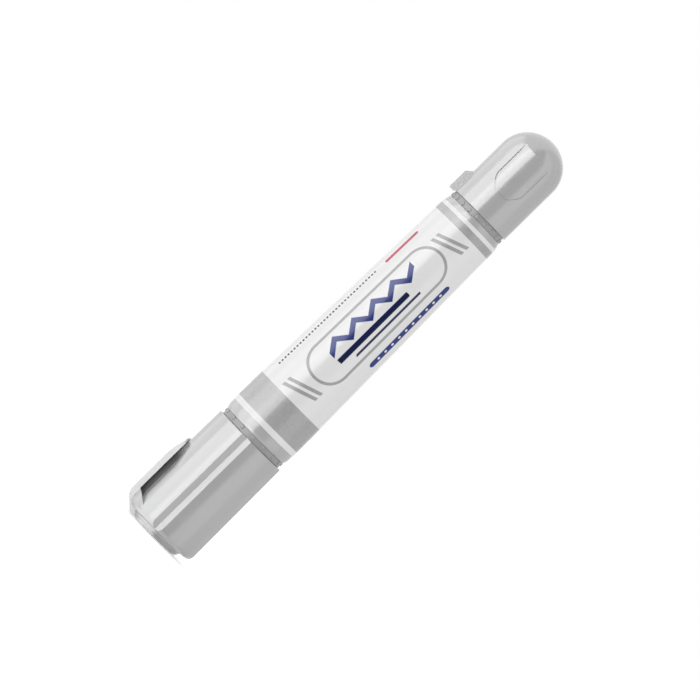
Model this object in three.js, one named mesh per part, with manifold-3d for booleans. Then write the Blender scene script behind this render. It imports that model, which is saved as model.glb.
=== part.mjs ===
// A twin-tip permanent paint marker: a tapered paint barrel with a valve-fed chisel nib under a fluted
// clip cap at one end, and a valve-fed bullet nib under a domed cap at the other.
// Millimetres. The marker stands on the flat end of its broad cap, with the origin in the middle of
// that end and +Z up the axis. The clip is on the -X side, and the label faces -Y.
import * as THREE from "three";
import { mergeVertices } from "three/addons/utils/BufferGeometryUtils.js";
import Module from "manifold-3d";

const wasm = await Module();
wasm.setup();

// Sides of the turned pieces
const outerSides = 48;
const innerSides = 28;
const smallSides = 20;

// Clearances
const slideFit = 0.05; // on the radius, between round pieces that push or slide into each other
const seatGap = 0.05; // along the axis, between faces that rest on each other
const filmGap = 0.02; // under the printed film
const restGap = 0.12; // under the clip's foot

// Barrel, a tapered tube that holds the paint
const barrel = {
  length: 82.4,
  broadRadius: 11.05,
  mediumRadius: 9.55,
  wall: 1.45,
  drawnIn: 0.45, // how much narrower each end is
  drawnLength: 1.1,
};
const barrelTurn = THREE.MathUtils.degToRad(5.7); // how the barrel happens to sit in its broad cap

// Printed film round the barrel
const film = { fromBroadEnd: 3.1, fromMediumEnd: 1.7, thickness: 0.14 };

// The neck is each holder's ribbed flange, which shows between the barrel and the cap.
const neck = { width: 1.7, ribHeight: 0.35, ribWidth: 0.9 };

// Valve behind each nib
const valve = {
  proud: 1.45, // how far its face stands out of the barrel
  bodyWall: 2.05,
  tailWall: 1.1,
  bore: 3.3,
  tailLength: 4.6, // behind the holder's spigot
  hole: 1.7,
  holeLand: 0.7,
  seatDepth: 1.05, // of the 45 degree cone under the hole
  windowWidth: 3,
  windowMargin: 1.05,
  edge: 0.3,
};
const stem = { rod: 1.3, head: 2.6, headLength: 1.2, pin: 1, edge: 0.25, stroke: 1.5, stopGap: 0.1 };
const spring = { coil: 1.95, wire: 0.2, turns: 5, stepsPerTurn: 10, wireSides: 5 };
const retainer = { head: 1, plug: 1.2, post: 1.2, postLength: 1.4, edge: 0.25 };

// Nib holders. The cap grips the land, and its inner cap seals round the collar.
const spigot = { length: 8, lead: 0.4, wall: 1.2, sleeveWall: 1 };
const bead = { height: 0.12, halfWidth: 0.6 };
const collarEdge = 0.4;
const broadHolder = {
  ribs: 16,
  land: 9.55,
  landLength: 7.2,
  shoulder: 0.7,
  coneLength: 9.5,
  coneStep: 0.6, // left outside the collar where the cone ends
  collar: 4.6,
  collarLength: 5.6,
  coring: 6, // how far the moulding is cored out past the barrel's end
};
const mediumHolder = {
  ribs: 20,
  land: 7.85,
  landLength: 5.2,
  shoulder: 0.5,
  coneLength: 5,
  coneStep: 0.5,
  collar: 3.4,
  collarLength: 5.2,
};

// Nibs
const nibTail = 4; // from the barrel's end to the back of either nib
const broadNib = { radius: 3.2, reach: 5.4, chiselLength: 5, edgeThickness: 1.8, slant: 1.9 };
const mediumNib = { radius: 2, reach: 3.45, bulletLength: 2.9 };

// Broad cap
const broadCap = {
  mouthRadius: 11.28,
  endRadius: 11.6,
  cornerInset: 1.4,
  cornerLength: 1.9,
  mouthEdge: 0.3,
  endWall: 1.5,
  wall: 1.3, // under the flat beneath the clip
  boreRelief: 4.05, // how far the wide bore runs past the holder's land
  boreStep: 1.6,
};
const flute = { halfWidth: 1.9, depth: 0.95, angles: [-90, 0, 90] };
const endPlate = { thickness: 1.75, radius: 8.6, edge: 0.5, plug: 5.6, plugLength: 1.4 };

// Clip, measured from the flat end of the cap. The flat cut in the cap beneath it ends in a ramp.
const clip = {
  width: 5.6,
  tipWidth: 4.8,
  tipRound: 1.6,
  thickness: 1.4,
  tipThickness: 0.55,
  tipEdge: 0.5,
  reach: 13.15,
  footRadius: 8.85, // where its outer face starts, on the flat end
  footRise: 3.75,
  edge: 0.4,
  overlap: 1.8, // how far it runs past the ramp
  slopeLength: 5.9,
  padLength: 1.3,
};
const flat = { height: 9.4, margin: 2.75, startSlope: 0.86, rampLength: 5.8 };
const clipRib = { width: 1.6, gap: 0.65, overlap: 0.25 };
const clipNotchGap = 0.25;

// Medium cap
const mediumCap = {
  radius: 9.5,
  wall: 1.35,
  mouthEdge: 0.25,
  crown: 3.6, // from the tip to the inner cap
  boreRelief: 1,
  boreStep: 1.2,
  shoulder: 0.42,
};
const channel = { halfWidth: 4.8, endHalfWidth: 2.1, start: 7.3, flareLength: 3.2, depth: 0.45, tipDepth: 0.2 };
const lug = { height: 1.6, width: 4.6, length: 5.6, slope: 1.4, root: 0.8 };

// Inner caps, soft cups that seal the nibs
const cup = { wall: 0.85, floor: 0.8, lip: 0.2, lipHalfWidth: 0.5, lipInset: 1.2, flange: 1, edge: 0.4 };
const nibRoom = 4.6; // between a nib's tip and the floor of its cup

const mixingBall = { radius: 3, offset: 3.3, rings: 10 };

const material = {
  cap: new THREE.MeshStandardMaterial({ color: 0xc6c7c9, roughness: 0.32, metalness: 0.25 }),
  barrel: new THREE.MeshStandardMaterial({ color: 0xd2d3d5, roughness: 0.35, metalness: 0.15 }),
  film: new THREE.MeshStandardMaterial({ color: 0xf0f0f0, roughness: 0.4, metalness: 0 }),
  holder: new THREE.MeshStandardMaterial({ color: 0x8d8f92, roughness: 0.45, metalness: 0 }),
  cup: new THREE.MeshStandardMaterial({ color: 0xe9ebec, roughness: 0.5, metalness: 0 }),
  valve: new THREE.MeshStandardMaterial({ color: 0xe4e6e4, roughness: 0.45, metalness: 0 }),
  stem: new THREE.MeshStandardMaterial({ color: 0x3a4a8c, roughness: 0.45, metalness: 0 }),
  nib: new THREE.MeshStandardMaterial({ color: 0x27348b, roughness: 0.95, metalness: 0 }),
  steel: new THREE.MeshStandardMaterial({ color: 0xb8bcc0, roughness: 0.25, metalness: 1 }),
};

// Each end is laid out from the barrel's end face outwards, along its own Z.
const neckFront = seatGap + neck.width;
const mouth = neckFront + seatGap;
const valveBack = -spigot.length - valve.tailLength;
const plugTop = valveBack + retainer.plug;
const postTop = plugTop + retainer.postLength;
const valveBody = valve.bore + valve.bodyWall;
const valveTail = valve.bore + valve.tailWall;
const socket = valveBody + slideFit;

const broad = layOut(broadHolder, broadNib, barrel.broadRadius);
const medium = layOut(mediumHolder, mediumNib, barrel.mediumRadius);
broad.closedEnd = broad.cupEnd + seatGap + broadCap.endWall;
medium.tip = medium.cupEnd + mediumCap.crown;

const flatEnd = broad.closedEnd + seatGap + endPlate.thickness;
const broadCavity = flat.height - broadCap.wall;
const wideBoreEnd = broad.landEnd + broadCap.boreRelief;
const rampEnd = wideBoreEnd + broadCap.boreStep;
const domeStart = medium.tip - mediumCap.radius;

function layOut(holder, nib, barrelEnd) {
  const landEnd = neckFront + holder.landLength;
  const coneEnd = landEnd + holder.coneLength;
  const collarEnd = coneEnd + holder.collarLength;
  const nibTip = collarEnd + nib.reach;
  const cupFloor = nibTip + nibRoom;
  return {
    landEnd,
    coneEnd,
    collarEnd,
    nibTip,
    cupFloor,
    cupEnd: cupFloor + cup.floor,
    spigotRadius: barrelEnd - barrel.wall - slideFit,
    neckRadius: barrelEnd - barrel.drawnIn,
    capBore: holder.land + bead.height + slideFit,
    cupBore: holder.collar + slideFit + cup.lip,
  };
}

function solidOf(geometry) {
  geometry.deleteAttribute("normal");
  geometry.deleteAttribute("uv");
  const merged = mergeVertices(geometry, 1e-4);
  return new wasm.Manifold(
    new wasm.Mesh({
      numProp: 3,
      vertProperties: merged.attributes.position.array,
      triVerts: new Uint32Array(merged.index.array),
    }),
  );
}

function meshOf(name, solid, look) {
  const { vertProperties, triVerts } = solid.getMesh();
  const geometry = new THREE.BufferGeometry();
  geometry.setAttribute("position", new THREE.BufferAttribute(vertProperties, 3));
  geometry.setIndex(new THREE.BufferAttribute(triVerts, 1));
  const mesh = new THREE.Mesh(geometry, look);
  mesh.name = name;
  return mesh;
}

// Turns [radius, z] points about Z. They run anticlockwise round the section.
function turn(points, sides) {
  const section = [...points, points[0]].map(([radius, z]) => new THREE.Vector2(radius, z));
  return solidOf(new THREE.LatheGeometry(section, sides).rotateX(Math.PI / 2));
}

// Extrudes an outline of [x, z] points along Y, half to each side.
function slab(points, width) {
  const shape = new THREE.Shape(points.map(([x, z]) => new THREE.Vector2(x, z)));
  const geometry = new THREE.ExtrudeGeometry(shape, { depth: width, bevelEnabled: false });
  return solidOf(geometry.translate(0, 0, -width / 2).rotateX(Math.PI / 2));
}

// Points on a quarter of an ellipse, from its widest radius up to the axis side.
function quarterRound(centreRadius, centreZ, width, height, steps) {
  return Array.from({ length: steps + 1 }, (_, step) => {
    const angle = ((Math.PI / 2) * step) / steps;
    return [centreRadius + width * Math.cos(angle), centreZ + height * Math.sin(angle)];
  });
}

function barrelRadiusAt(z) {
  const along = (z - barrel.drawnLength) / (barrel.length - 2 * barrel.drawnLength);
  return THREE.MathUtils.lerp(barrel.broadRadius, barrel.mediumRadius, along);
}

function barrelSolid() {
  const broadBore = barrel.broadRadius - barrel.wall;
  const mediumBore = barrel.mediumRadius - barrel.wall;
  return turn(
    [
      [broadBore, 0],
      [barrel.broadRadius - barrel.drawnIn, 0],
      [barrel.broadRadius, barrel.drawnLength],
      [barrel.mediumRadius, barrel.length - barrel.drawnLength],
      [barrel.mediumRadius - barrel.drawnIn, barrel.length],
      [mediumBore, barrel.length],
      [mediumBore, barrel.length - spigot.length],
      [broadBore, spigot.length],
    ],
    outerSides,
  );
}

function filmSolid() {
  const start = film.fromBroadEnd;
  const end = barrel.length - film.fromMediumEnd;
  const inner = (z) => barrelRadiusAt(z) + filmGap;
  const outer = (z) => inner(z) + film.thickness;
  return turn(
    [
      [inner(start), start],
      [outer(start), start],
      [outer(end), end],
      [inner(end), end],
    ],
    outerSides,
  );
}

function beadPoints(radius, from, to) {
  const middle = (from + to) / 2;
  return [
    [radius, middle - bead.halfWidth],
    [radius + bead.height, middle],
    [radius, middle + bead.halfWidth],
  ];
}

// The coring leaves a sleeve round the valve, a wall at the spigot and a ring-shaped pocket between them.
function coringPoints(end, depth) {
  const sleeve = socket + spigot.sleeveWall;
  const outerWall = end.spigotRadius - spigot.wall;
  return [
    [sleeve, -spigot.length],
    [sleeve, depth],
    [outerWall, depth],
    [outerWall, -spigot.length],
  ];
}

function holderSolid(holder, nib, end) {
  const root = end.neckRadius - neck.ribHeight;
  const nibBore = nib.radius + slideFit;
  const body = turn(
    [
      [socket, -spigot.length],
      ...(holder.coring ? coringPoints(end, holder.coring) : []),
      [end.spigotRadius - spigot.lead, -spigot.length],
      [end.spigotRadius, -spigot.length + spigot.lead],
      [end.spigotRadius, seatGap],
      [root, seatGap],
      [root, neckFront],
      [holder.land, neckFront],
      ...beadPoints(holder.land, neckFront, end.landEnd),
      [holder.land, end.landEnd],
      [holder.land - holder.shoulder, end.landEnd],
      [holder.collar + holder.coneStep, end.coneEnd],
      [holder.collar, end.coneEnd],
      [holder.collar, end.collarEnd - collarEdge],
      [holder.collar - collarEdge, end.collarEnd],
      [nibBore, end.collarEnd],
      [nibBore, valve.proud + seatGap],
      [socket, valve.proud + seatGap],
    ],
    innerSides,
  );
  return Array.from({ length: holder.ribs }, (_, index) => neckRib(end.neckRadius, index, holder.ribs)).reduce(
    (solid, rib) => solid.add(rib),
    body,
  );
}

function neckRib(radius, index, count) {
  const depth = 2 * neck.ribHeight;
  const rib = new THREE.BoxGeometry(depth, neck.ribWidth, neck.width);
  rib.translate(radius - depth / 2, 0, seatGap + neck.width / 2);
  return solidOf(rib.rotateZ((2 * Math.PI * index) / count));
}

function valveHousingSolid() {
  const landEnd = valve.proud - valve.holeLand;
  const seatEnd = landEnd - valve.seatDepth;
  const body = turn(
    [
      [valve.bore, valveBack],
      [valveTail, valveBack],
      [valveTail, -spigot.length],
      [valveBody, -spigot.length],
      [valveBody, valve.proud - valve.edge],
      [valveBody - valve.edge, valve.proud],
      [valve.hole, valve.proud],
      [valve.hole, landEnd],
      [valve.hole + valve.seatDepth, seatEnd],
      [valve.bore, seatEnd],
    ],
    smallSides,
  );
  const height = valve.tailLength - 2 * valve.windowMargin;
  const across = () => {
    const window = new THREE.BoxGeometry(3 * valveTail, valve.windowWidth, height);
    return window.translate(0, 0, valveBack + valve.tailLength / 2);
  };
  return body.subtract(solidOf(across())).subtract(solidOf(across().rotateZ(Math.PI / 2)));
}

// The stem's cone lies against the seat, and its pin stops on the retainer's post when the nib is pressed.
function stemShape() {
  const coneStart = valve.proud - valve.holeLand + valve.hole - seatGap; // where the cone would reach the axis
  const coneEnd = coneStart - stem.head;
  const headBack = coneEnd - stem.headLength;
  const pinEnd = postTop + stem.stroke + stem.stopGap;
  return { coneStart, coneEnd, headBack, pinEnd };
}

function stemSolid() {
  const { coneStart, coneEnd, headBack, pinEnd } = stemShape();
  return turn(
    [
      [0, pinEnd],
      [stem.pin - stem.edge, pinEnd],
      [stem.pin, pinEnd + stem.edge],
      [stem.pin, headBack],
      [stem.head, headBack],
      [stem.head, coneEnd],
      [stem.rod, coneStart - stem.rod],
      [stem.rod, nibTail - seatGap],
      [0, nibTail - seatGap],
    ],
    smallSides,
  );
}

class Helix extends THREE.Curve {
  constructor(radius, from, to, turns) {
    super();
    Object.assign(this, { radius, from, to, turns });
  }
  getPoint(t, target = new THREE.Vector3()) {
    const angle = 2 * Math.PI * this.turns * t;
    const z = THREE.MathUtils.lerp(this.from, this.to, t);
    return target.set(this.radius * Math.cos(angle), this.radius * Math.sin(angle), z);
  }
}

function springSolid() {
  const { headBack } = stemShape();
  const path = new Helix(
    spring.coil,
    plugTop + spring.wire + seatGap,
    headBack - spring.wire - seatGap,
    spring.turns,
  );
  const wire = new THREE.Shape().absarc(0, 0, spring.wire, 0, 2 * Math.PI);
  const geometry = new THREE.ExtrudeGeometry(wire, {
    extrudePath: path,
    steps: spring.turns * spring.stepsPerTurn,
    curveSegments: spring.wireSides,
  });
  return solidOf(geometry);
}

function retainerSolid() {
  const back = valveBack - seatGap;
  const plug = valve.bore - slideFit;
  return turn(
    [
      [0, back - retainer.head],
      [valveTail - retainer.edge, back - retainer.head],
      [valveTail, back - retainer.head + retainer.edge],
      [valveTail, back],
      [plug, back],
      [plug, plugTop],
      [retainer.post, plugTop],
      [retainer.post, postTop],
      [0, postTop],
    ],
    smallSides,
  );
}

// A round felt rod with two flats that meet in a slanted edge.
function broadNibSolid() {
  const { radius, chiselLength, edgeThickness, slant } = broadNib;
  const tip = broad.nibTip;
  const rod = turn(
    [
      [0, nibTail],
      [radius, nibTail],
      [radius, tip],
      [0, tip],
    ],
    innerSides,
  );
  const sideView = slab(
    [
      [-radius, nibTail],
      [radius, nibTail],
      [radius, tip - slant],
      [-radius, tip],
    ],
    2 * radius,
  );
  const edgeView = slab(
    [
      [-radius, nibTail],
      [radius, nibTail],
      [radius, tip - chiselLength],
      [edgeThickness / 2, tip],
      [-edgeThickness / 2, tip],
      [-radius, tip - chiselLength],
    ],
    2 * radius,
  );
  return rod.intersect(sideView).intersect(edgeView.rotate([0, 0, 90]));
}

function mediumNibSolid() {
  const { radius, bulletLength } = mediumNib;
  return turn(
    [
      [0, nibTail],
      [radius, nibTail],
      ...quarterRound(0, medium.nibTip - bulletLength, radius, bulletLength, 6),
    ],
    smallSides,
  );
}

// The mouth's lip seals on the holder's collar, and the flange fills the cap's cavity.
function cupSolid(holder, end, flangeRadius, flangeTop) {
  const outer = end.cupBore + cup.wall;
  const open = end.coneEnd + holder.coneStep;
  const lipRadius = end.cupBore - cup.lip;
  const lipMiddle = open + cup.lipInset;
  return turn(
    [
      [end.cupBore, open],
      [outer, open],
      [outer, flangeTop - cup.flange],
      [flangeRadius, flangeTop - cup.flange],
      [flangeRadius, flangeTop],
      ...(flangeTop < end.cupEnd
        ? [
            [outer, flangeTop],
            [outer, end.cupEnd - cup.edge],
            [outer - cup.edge, end.cupEnd],
          ]
        : []),
      [0, end.cupEnd],
      [0, end.cupFloor],
      [end.cupBore, end.cupFloor],
      [end.cupBore, lipMiddle + cup.lipHalfWidth],
      [lipRadius, lipMiddle],
      [end.cupBore, lipMiddle - cup.lipHalfWidth],
    ],
    innerSides,
  );
}

function broadCapRadiusAt(z) {
  const taperEnd = broad.closedEnd - broadCap.cornerLength;
  const along = (z - mouth) / (taperEnd - mouth);
  return THREE.MathUtils.lerp(broadCap.mouthRadius, broadCap.endRadius, along);
}

function fluteCutter(angle) {
  const length = broad.closedEnd - mouth;
  const lean = Math.atan2(broadCap.endRadius - broadCap.mouthRadius, length - broadCap.cornerLength);
  const rise = flute.depth; // the cutter opens out as far above the surface as it reaches below
  const section = new THREE.Shape([
    new THREE.Vector2(-flute.depth, 0),
    new THREE.Vector2(rise, -flute.halfWidth * (1 + rise / flute.depth)),
    new THREE.Vector2(rise, flute.halfWidth * (1 + rise / flute.depth)),
  ]);
  const geometry = new THREE.ExtrudeGeometry(section, { depth: 2 * length, bevelEnabled: false });
  geometry.translate(0, 0, -length / 2).rotateY(lean);
  geometry.translate(broadCap.mouthRadius, 0, mouth).rotateZ(THREE.MathUtils.degToRad(-angle));
  return solidOf(geometry);
}

// The flat beneath the clip runs right across the cap. A notch as wide as the clip opens it to the end.
function flatCutter() {
  const beyond = 2 * clip.reach;
  const start = broad.closedEnd - flat.margin;
  const sloped = (beyond - flat.height) * flat.startSlope;
  const surface = broadCapRadiusAt(rampEnd);
  const rampSlope = flat.rampLength / (surface - flat.height);
  const open = rampEnd - (beyond - surface) * rampSlope;
  return slab(
    [
      [-flat.height, start],
      [-beyond, start - sloped],
      [-beyond, open],
      [-flat.height, rampEnd + flat.rampLength],
    ],
    4 * broadCap.endRadius,
  );
}

function notchCutter() {
  const beyond = 2 * clip.reach;
  const start = flatEnd;
  return slab(
    [
      [-flat.height, start],
      [-beyond, start],
      [-beyond, broad.closedEnd - 2 * flat.margin],
      [-flat.height, broad.closedEnd - 2 * flat.margin],
    ],
    clip.width + 2 * clipNotchGap,
  );
}

function broadCapSolid() {
  const end = broad.closedEnd;
  const shell = turn(
    [
      [broad.capBore, mouth],
      [broadCap.mouthRadius - broadCap.mouthEdge, mouth],
      [broadCap.mouthRadius, mouth + broadCap.mouthEdge],
      ...quarterRound(
        broadCap.endRadius - broadCap.cornerInset,
        end - broadCap.cornerLength,
        broadCap.cornerInset,
        broadCap.cornerLength,
        4,
      ),
      [endPlate.plug, end],
      [endPlate.plug, end - broadCap.endWall],
      [broadCavity, end - broadCap.endWall],
      [broadCavity, rampEnd],
      [broad.capBore, wideBoreEnd],
    ],
    outerSides,
  );
  return flute.angles
    .map(fluteCutter)
    .concat(flatCutter(), notchCutter())
    .reduce((solid, cutter) => solid.subtract(cutter), shell);
}

// Clip points are [distance from the axis, distance from the flat end].
function clipSide(points, width) {
  return slab(
    points.map(([reach, rise]) => [-reach, flatEnd - rise]),
    width,
  );
}

function clipBlade() {
  const end = flatEnd - rampEnd + clip.overlap;
  const slopeStart = end - clip.slopeLength;
  const underside = clip.reach - clip.thickness;
  const rest = broadCapRadiusAt(flatEnd - end) + restGap;
  const armInner = flat.height + clipNotchGap;
  const armRise = endPlate.thickness + seatGap + flat.margin;
  return clipSide(
    [
      [endPlate.plug, 0],
      [clip.footRadius, 0],
      [clip.reach, clip.footRise],
      [clip.reach, slopeStart],
      [rest + clip.tipThickness, end - clip.tipEdge],
      [rest, end],
      [rest, end - clip.padLength],
      [underside, slopeStart],
      [underside, armRise + (underside - armInner) * flat.startSlope],
      [armInner, armRise],
      [armInner, endPlate.thickness],
      [endPlate.plug, endPlate.thickness],
    ],
    clip.width,
  );
}

// The rib stiffens the clip's underside and keeps clear of the flat and its ramp.
function clipRibSolid() {
  const lowest = flat.height + clipRib.gap;
  const top = clip.reach - clip.thickness + clipRib.overlap;
  const rampStart = flatEnd - rampEnd - flat.rampLength;
  const rampRise = broadCapRadiusAt(rampEnd) - flat.height;
  const armRise = endPlate.thickness + seatGap + flat.margin;
  return clipSide(
    [
      [lowest, armRise],
      [top, armRise],
      [top, rampStart + (flat.rampLength * (top - lowest)) / rampRise],
      [lowest, rampStart],
    ],
    clipRib.width,
  );
}

// What the clip looks like from outside, narrower and rounded at its free end, with its edges broken.
function clipOutline() {
  const end = rampEnd - clip.overlap;
  const half = clip.width / 2;
  const tip = clip.tipWidth / 2;
  const outline = new THREE.Shape();
  outline.moveTo(half, flatEnd);
  outline.lineTo(-half, flatEnd);
  outline.lineTo(-half, flatEnd - clip.footRise);
  outline.lineTo(-tip, end + clip.tipRound);
  outline.absarc(-tip + clip.tipRound, end + clip.tipRound, clip.tipRound, Math.PI, 1.5 * Math.PI);
  outline.absarc(tip - clip.tipRound, end + clip.tipRound, clip.tipRound, 1.5 * Math.PI, 2 * Math.PI);
  outline.lineTo(half, flatEnd - clip.footRise);
  const seen = new THREE.ExtrudeGeometry(outline, {
    depth: clip.reach,
    bevelEnabled: false,
    curveSegments: 4,
  });
  const section = new THREE.Shape([
    new THREE.Vector2(0, -half),
    new THREE.Vector2(0, half),
    new THREE.Vector2(-clip.reach + clip.edge, half),
    new THREE.Vector2(-clip.reach, half - clip.edge),
    new THREE.Vector2(-clip.reach, -half + clip.edge),
    new THREE.Vector2(-clip.reach + clip.edge, -half),
  ]);
  const along = new THREE.ExtrudeGeometry(section, { depth: flatEnd - end, bevelEnabled: false });
  const seenSolid = solidOf(seen.rotateX(Math.PI / 2).rotateZ(-Math.PI / 2));
  return seenSolid.intersect(solidOf(along.translate(0, 0, end)));
}

function clipPieceSolid() {
  const plateTop = flatEnd - endPlate.thickness;
  const plug = endPlate.plug - slideFit;
  const plate = turn(
    [
      [0, plateTop - endPlate.plugLength],
      [plug, plateTop - endPlate.plugLength],
      [plug, plateTop],
      [endPlate.radius, plateTop],
      [endPlate.radius, flatEnd - endPlate.edge],
      [endPlate.radius - endPlate.edge, flatEnd],
      [0, flatEnd],
    ],
    outerSides,
  );
  return plate.add(clipBlade().add(clipRibSolid()).intersect(clipOutline()));
}

function domePoints(radius, height, steps) {
  return quarterRound(0, domeStart, radius, height, steps);
}

function lugSolid() {
  const inner = mediumCap.radius - lug.root;
  const outer = mediumCap.radius + lug.height;
  return slab(
    [
      [-inner, mouth],
      [-outer, mouth],
      [-outer, mouth + lug.length],
      [-mediumCap.radius, mouth + lug.length + lug.slope],
      [-inner, mouth + lug.length + lug.slope],
    ],
    lug.width,
  );
}

// The channel is as deep as the core left inside it, front and back, and runs over the dome.
function channelCutter() {
  const start = mouth + channel.start;
  const beyond = medium.tip + mediumCap.radius;
  const outline = slab(
    [
      [channel.endHalfWidth, start],
      [channel.halfWidth, start + channel.flareLength],
      [channel.halfWidth, beyond],
      [-channel.halfWidth, beyond],
      [-channel.halfWidth, start + channel.flareLength],
      [-channel.endHalfWidth, start],
    ],
    4 * mediumCap.radius,
  );
  const core = turn(
    [
      [0, mouth],
      [mediumCap.radius - channel.depth, mouth],
      ...domePoints(mediumCap.radius - channel.depth, mediumCap.radius - channel.tipDepth, 7),
    ],
    outerSides,
  );
  return outline.subtract(core);
}

// Inside, the cavity ends at a narrow shoulder, and a smaller dome carries on above it.
function mediumCavity() {
  const dome = mediumCap.radius - channel.depth - mediumCap.wall;
  const cavity = dome - mediumCap.shoulder;
  const shoulderRadius = cavity - mediumCap.shoulder;
  const rise = Math.sqrt(dome ** 2 - shoulderRadius ** 2);
  return { dome, cavity, shoulderAt: domeStart + rise, shoulderAngle: Math.asin(rise / dome) };
}

function mediumCapSolid() {
  const { dome, cavity, shoulderAt, shoulderAngle } = mediumCavity();
  const boreEnd = medium.landEnd + mediumCap.boreRelief;
  const steps = 4;
  const innerDome = Array.from({ length: steps + 1 }, (_, step) => {
    const angle = THREE.MathUtils.lerp(Math.PI / 2, shoulderAngle, step / steps);
    return [dome * Math.cos(angle), domeStart + dome * Math.sin(angle)];
  });
  const shell = turn(
    [
      [medium.capBore, mouth],
      [mediumCap.radius - mediumCap.mouthEdge, mouth],
      [mediumCap.radius, mouth + mediumCap.mouthEdge],
      ...domePoints(mediumCap.radius, mediumCap.radius, 8),
      ...innerDome,
      [cavity, shoulderAt],
      [cavity, boreEnd + mediumCap.boreStep],
      [medium.capBore, boreEnd],
    ],
    outerSides,
  );
  return shell.add(lugSolid()).subtract(channelCutter());
}

function ballMesh(name, side) {
  const geometry = new THREE.SphereGeometry(mixingBall.radius, smallSides, mixingBall.rings);
  const mesh = meshOf(name, solidOf(geometry), material.steel);
  const rest = retainer.head - valveBack + seatGap; // from the barrel's end to the retainer's back
  mesh.position.set(side * mixingBall.offset, 0, flatEnd + rest + seatGap + mixingBall.radius);
  return mesh;
}

function valveMeshes(name) {
  return [
    meshOf(`${name}_valve_housing`, valveHousingSolid(), material.valve),
    meshOf(`${name}_valve_stem`, stemSolid(), material.stem),
    meshOf(`${name}_valve_spring`, springSolid(), material.steel),
    meshOf(`${name}_spring_retainer`, retainerSolid(), material.valve),
  ];
}

// The caps are drawn on the ends that they close, and only the broad cap isn't turned with the barrel.
const broadInner = new THREE.Group();
broadInner.rotation.z = -barrelTurn;
broadInner.add(
  meshOf("broad_nib_holder", holderSolid(broadHolder, broadNib, broad), material.holder),
  meshOf("broad_nib", broadNibSolid(), material.nib),
  ...valveMeshes("broad"),
);

const broadEnd = new THREE.Group();
broadEnd.position.z = flatEnd;
broadEnd.rotation.x = Math.PI;
broadEnd.add(
  broadInner,
  meshOf("broad_cap_shell", broadCapSolid(), material.cap),
  meshOf("broad_cap_clip", clipPieceSolid(), material.cap),
  meshOf(
    "broad_cap_inner_seal",
    cupSolid(broadHolder, broad, broadCavity - slideFit, broad.cupEnd),
    material.cup,
  ),
);

const mediumEnd = new THREE.Group();
mediumEnd.position.z = flatEnd + barrel.length;
mediumEnd.rotation.z = barrelTurn;
mediumEnd.add(
  meshOf("medium_nib_holder", holderSolid(mediumHolder, mediumNib, medium), material.holder),
  meshOf("medium_nib", mediumNibSolid(), material.nib),
  ...valveMeshes("medium"),
  meshOf("medium_cap_shell", mediumCapSolid(), material.cap),
  meshOf(
    "medium_cap_inner_seal",
    cupSolid(mediumHolder, medium, mediumCavity().cavity - slideFit, mediumCavity().shoulderAt - seatGap),
    material.cup,
  ),
);

const body = new THREE.Group();
body.position.z = flatEnd;
body.rotation.z = barrelTurn;
body.add(
  meshOf("barrel", barrelSolid(), material.barrel),
  meshOf("label_sleeve", filmSolid(), material.film),
);

const marker = new THREE.Group();
marker.add(broadEnd, body, mediumEnd, ballMesh("mixing_ball_1", 1), ballMesh("mixing_ball_2", -1));

export default marker;
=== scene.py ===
# Twin-tip paint marker: its pieces, finishes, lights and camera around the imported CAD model
from math import atan2, cos, hypot, pi, radians, sin

import bpy
from mathutils import Matrix, Vector


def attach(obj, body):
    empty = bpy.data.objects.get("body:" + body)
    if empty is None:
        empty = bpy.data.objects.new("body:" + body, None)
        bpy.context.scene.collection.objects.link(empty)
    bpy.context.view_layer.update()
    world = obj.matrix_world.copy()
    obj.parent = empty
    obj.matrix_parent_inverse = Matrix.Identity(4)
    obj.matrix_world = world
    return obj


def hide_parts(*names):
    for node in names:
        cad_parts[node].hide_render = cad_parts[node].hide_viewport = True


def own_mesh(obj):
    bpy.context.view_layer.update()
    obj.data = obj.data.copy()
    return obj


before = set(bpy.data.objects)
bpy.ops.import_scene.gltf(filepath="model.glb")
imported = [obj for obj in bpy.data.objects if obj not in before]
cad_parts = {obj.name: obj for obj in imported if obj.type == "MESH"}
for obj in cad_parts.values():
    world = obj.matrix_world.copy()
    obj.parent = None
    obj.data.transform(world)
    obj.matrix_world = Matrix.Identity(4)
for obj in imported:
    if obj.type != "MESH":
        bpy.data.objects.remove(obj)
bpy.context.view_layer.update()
print("frame loaded")

# Everything is modelled in millimetres and brought down to metres when it is finished
millimetre = 0.001
barrelTurn = radians(5.7)  # how far the barrel sits turned in its broad cap


def clearSelection():
    if bpy.context.mode != "OBJECT":
        bpy.ops.object.mode_set(mode="OBJECT")
    bpy.ops.object.select_all(action="DESELECT")


def newObject(name, add, **values):
    clearSelection()
    add(**values)
    bpy.context.object.name = name
    return bpy.context.object


# The camera looks square at the marker, rolled so that it lies across the picture
cameraPlace = {
    "distance": 1.5625,
    "focalLength": 300,
    "sensorWidth": 36,
    "sees": (0.05, 50),  # nearest and furthest
    "axisTilt": radians(44.53),
    "aimAlong": 0.07235,
    "aimAside": 0.00147,
}
towardsCamera = Vector((sin(barrelTurn), -cos(barrelTurn), 0))
aside = Vector((cos(barrelTurn), sin(barrelTurn), 0))  # away from the clip
upAxis = Vector((0, 0, 1))


def addCamera(place):
    tilt = place["axisTilt"]
    right = upAxis * cos(tilt) + aside * sin(tilt)
    up = upAxis * sin(tilt) - aside * cos(tilt)
    target = upAxis * place["aimAlong"] + aside * place["aimAside"]
    camera = newObject("camera", bpy.ops.object.camera_add)
    camera.data.lens = place["focalLength"]
    camera.data.sensor_width = place["sensorWidth"]
    camera.data.clip_start, camera.data.clip_end = place["sees"]
    turned = Matrix((right, up, towardsCamera)).transposed().to_4x4()
    camera.matrix_world = Matrix.Translation(target + towardsCamera * place["distance"]) @ turned
    bpy.context.scene.camera = camera


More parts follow.
